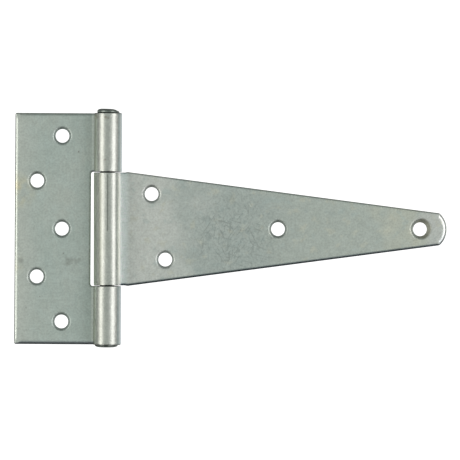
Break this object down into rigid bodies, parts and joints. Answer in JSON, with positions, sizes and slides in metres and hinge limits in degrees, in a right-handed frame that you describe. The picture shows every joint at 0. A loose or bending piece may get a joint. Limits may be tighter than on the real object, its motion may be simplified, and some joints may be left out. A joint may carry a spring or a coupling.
{
  "type": "t hinge",
  "caption": "Steel T hinge: a rectangular screw-on leaf and a long tapered strap with countersunk holes, rolled round one riveted pin and free to swing on it.",
  "frame": {"origin": "on the mounting plane of both leaves, straight behind the pin's axis, half-way along the barrel, with the hinge flat open", "axes": "+X along the strap towards its tip, +Y along the pin towards the taller head, +Z out of the door, away from the mounting plane"},
  "size_m": [0.1941, 0.1071, 0.0121],
  "materials": {
    "leaf_steel": "zinc plated, dull, with faint rolling lines",
    "strap_steel": "zinc plated, dull, lightly mottled and scratched",
    "pin_steel": "zinc plated, darker hammered heads"
  },
  "bodies": {
    "leaf_body": {"butt_leaf": "leaf_steel", "hinge_pin": "pin_steel"},
    "strap_body": {"strap_leaf": "strap_steel"}
  },
  "joints": [
    {"name": "strap_swing", "type": "hinge", "parent": "leaf_body", "child": "strap_body", "pos_m": [0, 0, 0.00605], "axis": [0, -1, 0], "range_deg": [-100, 185]}
  ]
}
